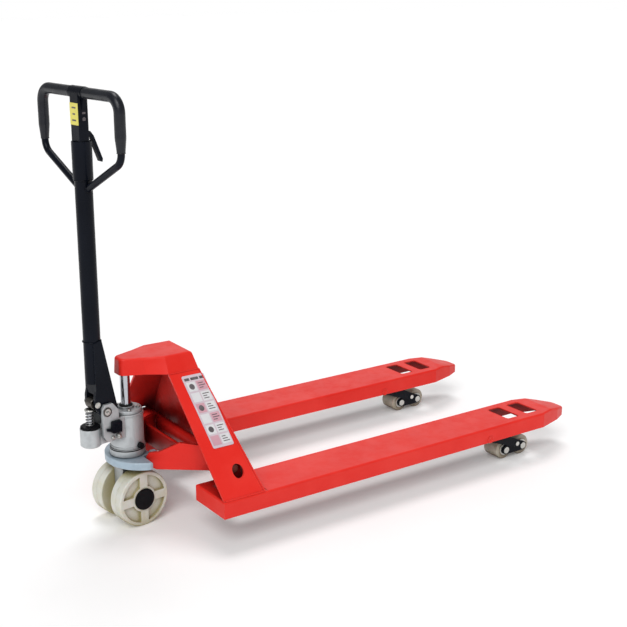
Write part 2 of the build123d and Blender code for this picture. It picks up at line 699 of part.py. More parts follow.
def position_label():
    """The plate on the housing's rear face that marks the lever's three positions."""
    rear_x = TUBE_X + HOUSING_X[0]
    half_y = HOUSING_HALF_WIDTH - 1
    return block((rear_x - 1, rear_x), (-half_y, half_y), (LEVER_PIN[1] + 23, LEVER_PIN[1] + 79))


def lever_pin():
    return cross_rod(LEVER_PIN_RADIUS, *LEVER_PIN, -HOUSING_HALF_WIDTH, HOUSING_HALF_WIDTH)


def control_lever():
    """The finger lever, with a short inner arm that pulls the rod in the tube."""
    x, z = LEVER_PIN
    points = [(x - 6, z + 7), (x + 12, z + 5), (x + 22, z - 8), (x + 46, z - 70), (x + 44, z - 78),
              (x + 38, z - 76), (x + 20, z - 30), (x + 16, z - 14), (x + 1, z - 8)]
    blade = side_plate(points, -7, 7)
    blade += side_plate([(x - 12, z - 5), (x, z - 5), (x, z + 5), (x - 12, z + 5)], -4, 4)
    return blade - cross_rod(LEVER_PIN_RADIUS + RUNNING_GAP, x, z, -20, 20)


def pull_rod():
    """The rod inside the tube, from the control lever down to the socket."""
    return upright(PULL_ROD_RADIUS, TUBE_X, 0, TUBE_Z[0] - 32, LEVER_PIN[1] - 7)


# ---- rocker and push rods ------------------------------------------------------------------------

def rocker_side_plate():
    """One splayed arm, from the base pin out to the cross tube."""
    start = Vector(BASE_PIN_X, 64, 0)
    end = Vector(ROCKER_X, 174, 0)
    length = (end - start).length
    outline = [(-17, 182), (-10, 170), (10, 160), (length, 160), (length, 214), (length - 30, 232), (78, 240),
               (20, 212), (-10, 208), (-17, 198)]
    plate = Pos(0, 5, 0) * (Rot(90, 0, 0) * extrude(make_face(Polyline(outline, close=True)), 10))
    heading = degrees(atan2(end.Y - start.Y, end.X - start.X))
    return Pos(start.X, start.Y, 0) * (Rot(0, 0, heading) * plate)


def rocker():
    """The welded rocker: a cross tube, two splayed arms, a web and two short rod clevises."""
    body = cross_rod(21, ROCKER_X, ROCKER_Z, -232, 232)
    for plate in both_sides(rocker_side_plate()):
        body += plate
    body += block((112, 120), (-116, 116), (165, 224))
    for side in (1, -1):
        for y_start, y_end in ((232, 241.4), (250.6, 256.5)):
            span = sorted((side * y_start, side * y_end))
            body += rod_ear(ROCKER_X, ROCKER_Z, -ROCKER_ROD_ARM, 17, 10.5, *span)
        bridge = sorted((side * 240, side * 252))
        body += block((ROCKER_X - 11, ROCKER_X + 11), bridge, (ROCKER_Z + 9, ROCKER_Z + 15))
        body += cross_rod(BASE_PIN_RADIUS, BASE_PIN_X, BASE_PIN_Z, side * 36, side * 66)
    body -= cross_rod(ROCKER_PIN_RADIUS + RUNNING_GAP, ROCKER_X, ROCKER_Z, -300, 300)
    return body - cross_rod(ROD_PIN_RADIUS, ROCKER_X, ROCKER_Z - ROCKER_ROD_ARM, -257, 257)


def rod_ear(x, z, arm, big, small, y_start, y_end):
    """A tear-drop ear: a round boss with a smaller round end that is arm away in z."""
    ear = cross_rod(big, x, z, y_start, y_end)
    ear += cross_rod(small, x, z + arm, y_start, y_end)
    ear += block((x - small, x + small), (y_start, y_end), sorted((z, z + arm)))
    return ear


def rocker_rod_pins():
    """The pins that join the rocker to the push rods."""
    return both_sides(cross_rod(ROD_PIN_RADIUS, ROCKER_X, ROCKER_Z - ROCKER_ROD_ARM, 233, 256.5))


def push_rod():
    """A cranked flat bar; its end holes are slots, because the pins there move in arcs."""
    rear_z = ROCKER_Z - ROCKER_ROD_ARM
    front_z = BRACKET_Z + BRACKET_ROD_ARM
    low = front_z - ROD_HALF_HEIGHT
    high = front_z + ROD_HALF_HEIGHT
    points = [(ROCKER_X - 8, rear_z + 6.9), (ROCKER_X - 10, rear_z - 9), (ROCKER_X + 2, rear_z - 20),
              (ROCKER_X + 32, low), (BRACKET_X, low), (BRACKET_X + 8, low + 4), (BRACKET_X + 8, high - 4),
              (BRACKET_X, high), (ROCKER_X + 38, high), (ROCKER_X + 12, rear_z - 4),
              (ROCKER_X + 9, rear_z + 6.9)]
    bar = side_plate(points, ROD_Y - ROD_THICKNESS / 2, ROD_Y + ROD_THICKNESS / 2)
    for x, z_span in ((ROCKER_X, (rear_z, rear_z + 2.6)), (BRACKET_X, (front_z - 2.9, front_z))):
        radius = ROD_PIN_RADIUS + 0.6
        bar -= cross_rod(radius, x, z_span[0], 200, 300) + cross_rod(radius, x, z_span[1], 200, 300)
        bar -= block((x - radius, x + radius), (200, 300), z_span)
    return bar


# ---- load brackets, bogies and rollers -----------------------------------------------------------

def roller_bracket():
    """The swinging bracket in a fork, about the fork's centre line."""
    body = cross_rod(12, BRACKET_X, BRACKET_Z, -51, 51)
    for side in (1, -1):
        span = sorted((side * 43, side * 51))
        points = [(BRACKET_X - 4, BRACKET_Z + 13), (BRACKET_X - 12, BRACKET_Z - 4),
                  (BRACKET_X - 6, BRACKET_Z - 12), (BOGIE_X - 10, BOGIE_Z - 9), (BOGIE_X + 8, BOGIE_Z - 10), (BOGIE_X + 12, BOGIE_Z),
                  (BOGIE_X + 8, BOGIE_Z + 10), (BRACKET_X + 60, BRACKET_Z + 2)]
        body += side_plate(points, *span)
        body += cross_rod(12, BOGIE_X, BOGIE_Z, *span)
    body += side_plate([(BRACKET_X + 16, BRACKET_Z + 3), (BRACKET_X + 18, BRACKET_Z - 7),
                        (BRACKET_X + 62, BRACKET_Z - 24), (BRACKET_X + 60, BRACKET_Z - 13)], -44, 44)
    rod_y = ROD_Y - FORK_Y
    for y_start, y_end in ((rod_y - 10, rod_y - 4.6), (rod_y + 4.6, rod_y + 10)):
        body += rod_ear(BRACKET_X, BRACKET_Z, BRACKET_ROD_ARM, 12, 8.5, y_start, y_end)
    body -= cross_rod(BRACKET_PIN_RADIUS + RUNNING_GAP, BRACKET_X, BRACKET_Z, -60, 60)
    body -= cross_rod(BOGIE_SHAFT_RADIUS + RUNNING_GAP, BOGIE_X, BOGIE_Z, -60, 60)
    # the pin for the push rod is welded across its two ears
    return body + cross_rod(ROD_PIN_RADIUS, BRACKET_X, BRACKET_Z + BRACKET_ROD_ARM, rod_y - 12, rod_y + 12)


def bogie_links():
    """The two link plates that carry a pair of rollers, joined by nothing but their shafts."""
    links = []
    half = BOGIE_SPACING / 2
    for side in (1, -1):
        span = sorted((side * 34, side * 41))
        link = cross_rod(12, BOGIE_X, BOGIE_Z, *span)
        for x in (BOGIE_X - half, BOGIE_X + half):
            link += cross_rod(14, x, ROLLER_RADIUS, *span)
        link += side_plate([(BOGIE_X - half, ROLLER_RADIUS - 14), (BOGIE_X + half, ROLLER_RADIUS - 14),
                            (BOGIE_X + half + 6, ROLLER_RADIUS + 12), (BOGIE_X + 8, BOGIE_Z + 9),
                            (BOGIE_X - 8, BOGIE_Z + 9), (BOGIE_X - half - 6, ROLLER_RADIUS + 12)], *span)
        link -= cross_rod(BOGIE_SHAFT_RADIUS, BOGIE_X, BOGIE_Z, *span)
        for x in (BOGIE_X - half, BOGIE_X + half):
            link -= cross_rod(AXLE_RADIUS, x, ROLLER_RADIUS, *span)
        links.append(link)
    return links


def bogie_shafts():
    """A bogie's centre shaft and its two headed roller axles."""
    shafts = [cross_rod(BOGIE_SHAFT_RADIUS, BOGIE_X, BOGIE_Z, -54, 54)]
    for x in (BOGIE_X - BOGIE_SPACING / 2, BOGIE_X + BOGIE_SPACING / 2):
        axle = cross_rod(AXLE_RADIUS, x, ROLLER_RADIUS, -41, 41)
        axle += cross_rod(10.5, x, ROLLER_RADIUS, 41, 42.6) + cross_rod(10.5, x, ROLLER_RADIUS, -42.6, -41)
        shafts.append(axle)
    return shafts


def load_roller(offset):
    """A nylon load roller with a stepped hub at each end."""
    x = BOGIE_X + offset
    half = ROLLER_LENGTH / 2
    roller = cross_rod(ROLLER_RADIUS, x, ROLLER_RADIUS, -half + 1, half - 1)
    roller = fillet(roller.edges().filter_by(GeomType.CIRCLE), 3)
    roller += cross_rod(20, x, ROLLER_RADIUS, -half - 1.5, half + 1.5)
    return roller - cross_rod(AXLE_RADIUS + RUNNING_GAP, x, ROLLER_RADIUS, -half - 3, half + 3)


def in_fork(part, side):
    """Moves a part drawn about a fork's centre line into the left or right fork."""
    if isinstance(part, list):
        return [in_fork(piece, side) for piece in part]
    placed = part if side > 0 else mirror(part, Plane.XZ)
    return Pos(0, side * FORK_Y, 0) * placed


# ---- writing -------------------------------------------------------------------------------------

FIXED_PARTS = {
    "fork_left": fork_left, "fork_right": fork_right, "apron_plate": apron_plate,
    "side_panel_left": side_panel_left, "side_panel_right": side_panel_right, "tower_head": tower_head,
    "piston_seat": piston_seat, "lift_rod": lift_rod, "pivot_ears": pivot_ears,
    "rocker_pivot_pins": rocker_pivot_pins, "bracket_pins": bracket_pins, "side_label": side_label,
    "base_ring": base_ring, "thrust_bearing": thrust_bearing, "bearing_seal": bearing_seal, "rocker": rocker,
    "rocker_rod_pins": rocker_rod_pins,
}

STEERED_PARTS = {
    "pump_body": pump_body, "reservoir_cap": reservoir_cap, "cap_screws": cap_screws, "rod_wiper": rod_wiper,
    "plunger_gland": plunger_gland, "relief_plug": relief_plug, "filler_plug": filler_plug,
    "steer_axle": steer_axle, "axle_circlips": axle_circlips, "handle_pivot_pin": handle_pivot_pin,
    "plunger_spring": plunger_spring, "pump_plunger": pump_plunger, "plunger_cap": plunger_cap,
    "release_lever": release_lever, "handle_socket": handle_socket,
    "press_roller_pin": press_roller_pin, "press_roller": press_roller, "handle_tube": handle_tube,
    "handle_loop": handle_loop, "hand_grips": hand_grips, "lever_housing": lever_housing,
    "position_label": position_label, "lever_pin": lever_pin, "control_lever": control_lever,
    "pull_rod": pull_rod,
}


def write(name, part, turn=0.0):
    """Writes one node, turned about the steering axis and moved to the jack's origin."""
    solids = part if isinstance(part, list) else [part]
    placed = [Pos(STEER_AXIS_X, 0, 0) * (Rot(0, 0, turn) * solid) for solid in solids]
    shape = placed[0] if len(placed) == 1 else Compound(children=placed)
    export_step(shape, f"parts/{name}.step")


def main():
    os.makedirs("parts", exist_ok=True)
    for name, make in FIXED_PARTS.items():
        write(name, make())
    for name, make in STEERED_PARTS.items():
        write(name, make(), STEER_REST)
    for side, word in ((1, "left"), (-1, "right")):
        write(f"steer_wheel_{word}", steer_wheel(side), STEER_REST)
        write(f"wheel_bearings_{word}", wheel_bearings(side), STEER_REST)
        write(f"hub_cap_{word}", hub_cap(side), STEER_REST)
        write(f"push_rod_{word}", push_rod() if side > 0 else mirror(push_rod(), Plane.XZ))
        write(f"roller_bracket_{word}", in_fork(roller_bracket(), side))
        write(f"bogie_links_{word}", in_fork(bogie_links(), side))
        write(f"bogie_shafts_{word}", in_fork(bogie_shafts(), side))
        for place, offset in (("rear", -BOGIE_SPACING / 2), ("front", BOGIE_SPACING / 2)):
            write(f"load_roller_{word}_{place}", in_fork(load_roller(offset), side))


main()
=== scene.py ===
import json
import math

import bmesh
import bpy
from mathutils import Matrix, Vector


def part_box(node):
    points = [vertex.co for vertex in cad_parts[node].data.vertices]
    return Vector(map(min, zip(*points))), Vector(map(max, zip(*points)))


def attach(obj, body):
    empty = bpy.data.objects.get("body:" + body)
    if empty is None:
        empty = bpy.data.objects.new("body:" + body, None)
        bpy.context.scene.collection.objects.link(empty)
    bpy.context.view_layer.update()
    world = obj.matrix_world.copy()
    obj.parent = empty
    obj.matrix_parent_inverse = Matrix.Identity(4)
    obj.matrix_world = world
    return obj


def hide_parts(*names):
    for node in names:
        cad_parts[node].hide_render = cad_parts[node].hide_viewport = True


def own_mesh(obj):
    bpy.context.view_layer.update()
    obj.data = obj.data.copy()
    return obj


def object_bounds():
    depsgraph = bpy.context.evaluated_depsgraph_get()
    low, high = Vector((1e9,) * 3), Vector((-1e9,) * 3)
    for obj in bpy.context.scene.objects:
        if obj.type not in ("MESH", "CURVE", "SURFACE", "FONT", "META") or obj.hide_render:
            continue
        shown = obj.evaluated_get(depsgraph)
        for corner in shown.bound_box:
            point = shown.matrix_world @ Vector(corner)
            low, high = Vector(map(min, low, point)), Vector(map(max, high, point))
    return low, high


# The looks of the hand pallet jack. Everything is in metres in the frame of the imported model:
# +X towards the fork tips, +Y left, +Z up, floor at Z = 0.

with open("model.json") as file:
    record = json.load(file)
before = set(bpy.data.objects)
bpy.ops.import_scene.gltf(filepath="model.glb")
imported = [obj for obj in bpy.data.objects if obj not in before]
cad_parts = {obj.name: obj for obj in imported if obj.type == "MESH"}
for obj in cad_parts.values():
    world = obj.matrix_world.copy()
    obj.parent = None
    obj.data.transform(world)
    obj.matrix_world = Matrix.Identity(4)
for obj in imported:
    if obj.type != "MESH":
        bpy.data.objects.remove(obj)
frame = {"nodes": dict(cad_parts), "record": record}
NODES = frame["nodes"]
CAD_LOW, CAD_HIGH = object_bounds()

MM = 0.001


# ==== places taken from the frame ==================================================================

def centre(name):
    """The middle of a CAD node's box."""
    low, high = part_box(name)
    return (low + high) / 2


STEER_AXIS_X = centre("lift_rod").x
STEER_REST = math.radians(7)
FLOOR_Z = CAD_LOW.z
LEFT = 1
RIGHT = -1


def fixed(x, y, z):
    """A point in millimetres from the steering axis, on the parts that don't steer."""
    return Vector((STEER_AXIS_X + x * MM, y * MM, z * MM))


def steered(x, y, z):
    """A point in millimetres from the steering axis, on the parts that steer, at their rest angle."""
    turned = Matrix.Rotation(STEER_REST, 3, "Z") @ Vector((x, y, z))
    return Vector((STEER_AXIS_X, 0, 0)) + turned * MM


STEERED_X = (steered(1, 0, 0) - steered(0, 0, 0)).normalized()
STEERED_Y = (steered(0, 1, 0) - steered(0, 0, 0)).normalized()
FIXED_Y = Vector((0, 1, 0))
UP = Vector((0, 0, 1))

# ---- camera and light
CAMERA_PLACE = (-2.040, -2.920, 1.523)
CAMERA_AIM = (-0.01, 0.0, 0.50)
CAMERA_LENS = 70.0
SENSOR = 36.0
WORLD_LIGHT = 0.30
WORLD_SEEN = 1.0


# ==== materials ====================================================================================

class Tree:
    """A small helper for building a node material."""

    def __init__(self, name):
        self.material = bpy.data.materials.new(name)
        self.material.use_nodes = True
        self.tree = self.material.node_tree
        self.bsdf = self.tree.nodes["Principled BSDF"]
        self.coordinates = self.add("ShaderNodeTexCoord").outputs["Object"]

    def add(self, kind, **settings):
        """A new node with its settings."""
        node = self.tree.nodes.new(kind)
        for key, value in settings.items():
            setattr(node, key, value)
        return node

    def link(self, source, target):
        self.tree.links.new(source, target)

    def noise(self, scale, detail=4.0, roughness=0.55, stretch=None, distortion=0.0):
        """Noise in the object's own space; scale is in waves per metre."""
        node = self.add("ShaderNodeTexNoise")
        node.inputs["Scale"].default_value = scale
        node.inputs["Detail"].default_value = detail
        node.inputs["Roughness"].default_value = roughness
        node.inputs["Distortion"].default_value = distortion
        source = self.coordinates
        if stretch:
            mapping = self.add("ShaderNodeMapping")
            mapping.inputs["Scale"].default_value = stretch
            self.link(source, mapping.inputs["Vector"])
            source = mapping.outputs["Vector"]
        self.link(source, node.inputs["Vector"])
        return node.outputs["Fac"]

    def ramp(self, value, low, high, to_low=0.0, to_high=1.0):
        """A smooth step of a value from one range to another."""
        node = self.add("ShaderNodeMapRange", interpolation_type="SMOOTHSTEP")
        self.link(value, node.inputs["Value"])
        for name, number in (("From Min", low), ("From Max", high), ("To Min", to_low), ("To Max", to_high)):
            node.inputs[name].default_value = number
        return node.outputs["Result"]

    def math(self, operation, first, second=None):
        """One sum on sockets or numbers."""
        node = self.add("ShaderNodeMath", operation=operation)
        for socket, value in zip(node.inputs, (first, second)):
            if isinstance(value, (int, float)):
                socket.default_value = value
            elif value is not None:
                self.link(value, socket)
        return node.outputs["Value"]

    def mix(self, factor, first, second, blend="MIX"):
        """Mixes two colours; each is a tuple or a socket."""
        node = self.add("ShaderNodeMix", data_type="RGBA", blend_type=blend)
        for socket, value in ((node.inputs[0], factor), (node.inputs[6], first), (node.inputs[7], second)):
            if isinstance(value, (int, float)):
                socket.default_value = value
            elif isinstance(value, tuple):
                socket.default_value = (*value, 1.0)
            else:
                self.link(value, socket)
        return node.outputs[2]

    def edges(self, radius):
        """The rounded normal at edges, and a mask that is 1 on an edge and 0 on a flat."""
        bevel = self.add("ShaderNodeBevel", samples=4)
        bevel.inputs["Radius"].default_value = radius
        geometry = self.add("ShaderNodeNewGeometry")
        dot = self.add("ShaderNodeVectorMath", operation="DOT_PRODUCT")
        self.link(bevel.outputs["Normal"], dot.inputs[0])
        self.link(geometry.outputs["Normal"], dot.inputs[1])
        return bevel.outputs["Normal"], self.ramp(dot.outputs["Value"], 0.99, 0.86)

    def hollows(self, reach, low=0.35, high=0.9):
        """A mask that is 1 deep in a hollow and 0 in the open."""
        node = self.add("ShaderNodeAmbientOcclusion", samples=6)
        node.inputs["Distance"].default_value = reach
        return self.ramp(node.outputs["AO"], high, low)

    def bump(self, height, strength, distance, normal=None):
        """A normal that follows a height socket, over an earlier normal where there is one."""
        node = self.add("ShaderNodeBump")
        node.inputs["Strength"].default_value = strength
        node.inputs["Distance"].default_value = distance
        self.link(height, node.inputs["Height"])
        if normal is not None:
            self.link(normal, node.inputs["Normal"])
        return node.outputs["Normal"]

    def finish(self, **sockets):
        """Sets or links the shader's sockets, named with underscores, and returns the material."""
        for name, value in sockets.items():
            socket = self.bsdf.inputs[name.replace("_", " ")]
            if isinstance(value, (int, float)):
                socket.default_value = value
            elif isinstance(value, tuple):
                socket.default_value = (*value, 1.0)
            else:
                self.link(value, socket)
        return self.material


def enamel(name, colour, pale, edge_wear_and_highlight, shade, roughness, coat, specular, edge=0.0012, depth=0.0):
    """Sprayed paint: orange peel, faint clouds, painted shade in corners and deep hollows, and paler edges
    that are a painted highlight broken by faint chipped wear.
    """
    t = Tree(name)
    normal, edge_mask = t.edges(edge)
    cloud = t.ramp(t.noise(7, 5), 0.35, 0.7)
    fine = t.ramp(t.noise(160, 3), 0.4, 0.65)
    base = t.mix(cloud, colour, pale)
    base = t.mix(t.math("MULTIPLY", fine, 0.12), base, pale)
    # painted shade: darker towards the shade colour in corners and creases
    base = t.mix(t.math("MULTIPLY", t.hollows(0.05), 0.5), base, shade)
    # painted shade deep in large hollows, such as inside the tower, as strong as depth
    if depth:
        base = t.mix(t.math("MULTIPLY", t.hollows(0.22, 0.15, 0.62), depth), base, shade)
    chips = t.ramp(t.noise(220, 6, 0.7), 0.50, 0.62)
    # paler edges: a painted highlight along every edge, broken by faint chipped wear
    base = t.mix(t.math("MULTIPLY", t.math("MULTIPLY", edge_mask, chips), 0.5), base, edge_wear_and_highlight)
    base = t.mix(t.math("MULTIPLY", edge_mask, 0.28), base, edge_wear_and_highlight)
    rough = t.ramp(t.noise(24, 6, 0.6), 0.3, 0.75, roughness - 0.07, roughness + 0.1)
    bumped = t.bump(t.noise(900, 2), 0.35, 0.00006, normal)
    bumped = t.bump(t.noise(38, 3), 0.15, 0.0006, bumped)
    return t.finish(Base_Color=base, Roughness=rough, Normal=bumped, Coat_Weight=coat, Coat_Roughness=0.15,
                    Specular_IOR_Level=specular)


def casting(name, colour, dark, roughness=0.42, metallic=0.35):
    """A sand casting under silver paint: grainy skin, painted shade in the hollows and a painted highlight on
    the edges.
    """
    t = Tree(name)
    normal, edge_mask = t.edges(0.0016)
    grain = t.noise(420, 5, 0.6)
    blotch = t.ramp(t.noise(30, 6, 0.65), 0.42, 0.75)
    base = t.mix(t.math("MULTIPLY", blotch, 0.30), colour, dark)
    # painted shade: much darker in the hollows
    base = t.mix(t.math("MULTIPLY", t.hollows(0.03), 0.85), base, tuple(c * 0.35 for c in dark))
    # painted highlight: near white along the edges
    base = t.mix(t.math("MULTIPLY", edge_mask, 0.4), base, (0.93, 0.94, 0.95))
    rough = t.ramp(t.noise(60, 5), 0.3, 0.7, roughness - 0.08, roughness + 0.14)
    bumped = t.bump(grain, 0.55, 0.0005, normal)
    bumped = t.bump(t.noise(70, 4), 0.35, 0.0012, bumped)
    return t.finish(Base_Color=base, Roughness=rough, Normal=bumped, Metallic=metallic, Coat_Weight=0.15)


def machined(name, colour, roughness, scale, stretch=(1, 1, 1), dark=(0.25, 0.25, 0.26)):
    """Turned or ground steel with a fine grain, drawn out where stretch isn't even, with painted shade in its
    crevices and a painted highlight on its edges.
    """
    t = Tree(name)
    normal, edge_mask = t.edges(0.0006)
    lines = t.noise(scale, 3, 0.6, stretch)
    stain = t.ramp(t.noise(40, 6, 0.7), 0.55, 0.8)
    base = t.mix(t.math("MULTIPLY", stain, 0.45), colour, dark)
    # painted shade: darker in crevices
    base = t.mix(t.math("MULTIPLY", t.hollows(0.012), 0.7), base, tuple(c * 0.3 for c in dark))
    # painted highlight: near white along the edges
    base = t.mix(t.math("MULTIPLY", edge_mask, 0.35), base, (0.95, 0.95, 0.95))
    rough = t.ramp(lines, 0.3, 0.7, roughness * 0.6, roughness * 1.5)
    bumped = t.bump(lines, 0.25, 0.0001, normal)
    return t.finish(Base_Color=base, Roughness=rough, Normal=bumped, Metallic=1.0)


def plastic(name, colour, second, roughness, specular, grain=700, depth=0.00015, subsurface=0.0,
            hollow_shade=None, reach=0.03):
    """Moulded plastic or rubber with a fine skin, faint flow marks, an optional painted shade colour in the
    hollows and a painted highlight on its edges.
    """
    t = Tree(name)
    normal, edge_mask = t.edges(0.001)
    flow = t.ramp(t.noise(18, 5, 0.6, distortion=1.5), 0.3, 0.75)
    specks = t.ramp(t.noise(260, 3), 0.62, 0.75)
    base = t.mix(flow, colour, second)
    base = t.mix(t.math("MULTIPLY", specks, 0.15), base, second)
    # painted shade: the hollow colour fills recesses and the gaps between parts
    if hollow_shade:
        base = t.mix(t.hollows(reach, 0.35, 0.85), base, hollow_shade)
    # painted highlight: a paler copy of the colour along the edges
    pale = tuple(min(1.0, c * 1.25 + 0.02) for c in colour)
    base = t.mix(t.math("MULTIPLY", edge_mask, 0.3), base, pale)
    rough = t.ramp(t.noise(45, 4), 0.3, 0.7, roughness - 0.08, roughness + 0.1)
    bumped = t.bump(t.noise(grain, 3), 0.5, depth, normal)
    return t.finish(Base_Color=base, Roughness=rough, Normal=bumped, Subsurface_Weight=subsurface,
                    Subsurface_Scale=0.006, Specular_IOR_Level=specular)


def film(name, colour, second, roughness=0.4):
    """Thin printed film, with hardly any grain."""
    return plastic(name, colour, second, roughness, specular=0.3, grain=300, depth=0.00002)


# Each enamel's shade colour is painted shade in corners and hollows, depth sets how dark the deep hollows are
# painted, and the third colour is the painted edge highlight with some chipped wear.
RED = enamel("red_enamel", (0.77, 0.021, 0.013), (0.81, 0.034, 0.024), (0.92, 0.16, 0.12),
             shade=(0.075, 0.0, 0.002), roughness=0.42, coat=0.04, specular=0.21, depth=0.95)
# A dark copy of the red paint, darkened as painted shade for the rocker's pivot pins deep in the panels'
# holes.
SHADED_RED = enamel("red_paint_shaded", (0.20, 0.030, 0.022), (0.30, 0.07, 0.05), (0.45, 0.25, 0.2),
                  shade=(0.04, 0.004, 0.003), roughness=0.5, coat=0.0, specular=0.3, depth=0.5)
BLACK = enamel("black_enamel", (0.0034, 0.0046, 0.0085), (0.0055, 0.0075, 0.0135), (0.035, 0.042, 0.06),
               shade=(0.001, 0.001, 0.002), roughness=0.27, coat=0.0, specular=0.10, edge=0.0008)
SILVER = casting("cast_silver", (0.52, 0.545, 0.56), (0.20, 0.21, 0.22))
PALE_RING = casting("pale_ring", (0.37, 0.47, 0.55), (0.20, 0.25, 0.31), metallic=0.2)
CHROME = machined("hard_chrome", (0.50, 0.52, 0.56), roughness=0.16, scale=500, stretch=(1, 1, 0.04),
                  dark=(0.4, 0.4, 0.42))
ZINC = machined("zinc_plate", (0.60, 0.60, 0.57), roughness=0.3, scale=300)
DARK_STEEL = machined("oiled_steel", (0.12, 0.11, 0.10), roughness=0.4, scale=200, dark=(0.05, 0.04, 0.035))
SPRING_STEEL = machined("spring_steel", (0.42, 0.42, 0.42), roughness=0.3, scale=250, dark=(0.10, 0.09, 0.08))
# The nylons' hollow colours are painted shade: yellow-olive in the wheels' recesses and between the wheels,
# dark brown in the rollers' hollows.
NYLON = plastic("nylon_white", (0.68, 0.68, 0.63), (0.62, 0.60, 0.48), roughness=0.40, specular=0.35,
                subsurface=0.05, hollow_shade=(0.36, 0.31, 0.15), reach=0.07)
ROLLER_NYLON = plastic("nylon_roller", (0.52, 0.48, 0.40), (0.38, 0.32, 0.23), roughness=0.42, specular=0.35,
                       subsurface=0.04, hollow_shade=(0.12, 0.085, 0.05))
HUB = plastic("hub_plastic", (0.0035, 0.0035, 0.0045), (0.006, 0.006, 0.008), roughness=0.42, specular=0.10)
GRIP = plastic("grip_vinyl", (0.0045, 0.0058, 0.0100), (0.0075, 0.009, 0.015), roughness=0.30, specular=0.38,
               grain=900, depth=0.0002)
RUBBER = plastic("seal_rubber", (0.012, 0.012, 0.012), (0.02, 0.02, 0.02), roughness=0.6, specular=0.2)
LABEL = film("label_film", (0.66, 0.56, 0.61), (0.62, 0.51, 0.57), roughness=0.35)
PRINT_GREY = film("print_grey", (0.10, 0.085, 0.09), (0.16, 0.14, 0.15))
PRINT_WHITE = film("print_white", (0.74, 0.73, 0.74), (0.69, 0.68, 0.70))
PRINT_PINK = film("print_pink", (0.66, 0.36, 0.42), (0.60, 0.33, 0.39))
YELLOW = film("position_film", (0.78, 0.70, 0.13), (0.74, 0.66, 0.16), roughness=0.35)

SLOT_MATERIALS = {
    "red_paint": RED, "cast_silver": SILVER, "black_paint": BLACK, "black_plastic": HUB, "grip_vinyl": GRIP,
    "nylon_white": NYLON, "chrome_rod": CHROME, "zinc_steel": ZINC, "dark_steel": DARK_STEEL,
    "label_white": LABEL, "label_yellow": YELLOW, "seal_rubber": RUBBER,
}
# The rocker's pivot pins take the darkened red copy: painted shade for their place deep in the panels' holes.
NODE_MATERIALS = {"base_ring": PALE_RING, "plunger_spring": SPRING_STEEL, "bracket_pins": RED,
                  "rocker_pivot_pins": SHADED_RED}

for row in frame["record"]["subparts"]:
    node = NODES[row["node"]]
    material = NODE_MATERIALS.get(row["node"], SLOT_MATERIALS[row["material_slot"]])
    if row["node"].startswith("load_roller"):
        material = ROLLER_NYLON
    for material_slot in node.material_slots:
        material_slot.material = material


# ==== mesh helpers =================================================================================

def add_piece(name, maker, material, body, sharp=40):
    """Turns a bmesh into a piece of the object that rides on a body."""
    mesh = bpy.data.meshes.new(name)
    bmesh.ops.recalc_face_normals(maker, faces=maker.faces)
    maker.to_mesh(mesh)
    maker.free()
    for face in mesh.polygons:
        face.use_smooth = True
    mesh.set_sharp_from_angle(angle=math.radians(sharp))
    mesh.materials.append(material)
    piece = bpy.data.objects.new(name, mesh)
    bpy.context.scene.collection.objects.link(piece)
    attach(piece, body)
    return piece


def ring_of(maker, place, side, out, radius, count):
    """A circle of vertices about a place, in the plane of two unit vectors."""
    turn = 2 * math.pi / count
    return [maker.verts.new(place + (side * math.cos(turn * k) + out * math.sin(turn * k)) * radius)
            for k in range(count)]


def join_rings(maker, first, second):
    """The faces between two rings of vertices."""
    count = len(first)
    for k in range(count):
        maker.faces.new((first[k], first[(k + 1) % count], second[(k + 1) % count], second[k]))


def sweep(maker, points, radius, count=10, closed=False):
    """A round section carried along points; radius is a number or a function of the distance travelled."""
    rings = []
    travelled = 0.0
    last = len(points) - 1
    side = None
    for k, point in enumerate(points):
        before = points[k - 1] if k or closed else point
        after = points[(k + 1) % len(points)] if k < last or closed else point
        heading = (after - before).normalized()
        if side is None:
            side = heading.orthogonal().normalized()
        side = (side - heading * side.dot(heading)).normalized()
        travelled += (point - points[k - 1]).length if k else 0.0
        size = radius(travelled) if callable(radius) else radius
        rings.append(ring_of(maker, point, side, heading.cross(side), size, count))
    for first, second in zip(rings, rings[1:]):
        join_rings(maker, first, second)
    if closed:
        offset = min(range(count), key=lambda k: (rings[0][k].co - rings[-1][0].co).length)
        join_rings(maker, rings[-1], rings[0][offset:] + rings[0][:offset])
    else:
        maker.faces.new(rings[0])
        maker.faces.new(rings[-1])


def lathe(maker, place, axis, profile, count=40):
    """A turned shape: profile lists (radius, distance along the axis) in millimetres, from end to end."""
    side = axis.orthogonal().normalized()
    out = axis.cross(side)
    rings = [ring_of(maker, place + axis * along * MM, side, out, radius * MM, count)
             for radius, along in profile]
    for first, second in zip(rings, rings[1:]):
        join_rings(maker, first, second)
    if profile[0] == profile[-1]:
        bmesh.ops.remove_doubles(maker, verts=rings[0] + rings[-1], dist=1e-7)
    else:
        maker.faces.new(rings[0])
        maker.faces.new(rings[-1])


def prism(maker, outline, push):
    """A thin solid from a flat outline of places, pushed along a vector."""
    low = [maker.verts.new(place) for place in outline]
    high = [maker.verts.new(place + push) for place in outline]
    maker.faces.new(low)
    maker.faces.new(high)
    join_rings(maker, low, high)


def line(start, end, step=1.5):
    """Evenly spaced places from start to end, step millimetres apart."""
    count = max(2, round((end - start).length / (step * MM)))
    return [start.lerp(end, k / count) for k in range(count + 1)]


def circle(place, side, out, radius, count=48):
    """Places on a circle, radius in millimetres."""
    turn = 2 * math.pi / count
    return [place + (side * math.cos(turn * k) + out * math.sin(turn * k)) * radius * MM
            for k in range(count)]


def bead_size(size, ripple=4.2):
    """The swelling radius of a weld bead, with a ripple every few millimetres."""
    wave = 2 * math.pi / (ripple * MM)

    def radius(along):
        return size * MM * (1 + 0.13 * math.sin(wave * along) + 0.06 * math.sin(wave * 0.37 * along))

    return radius


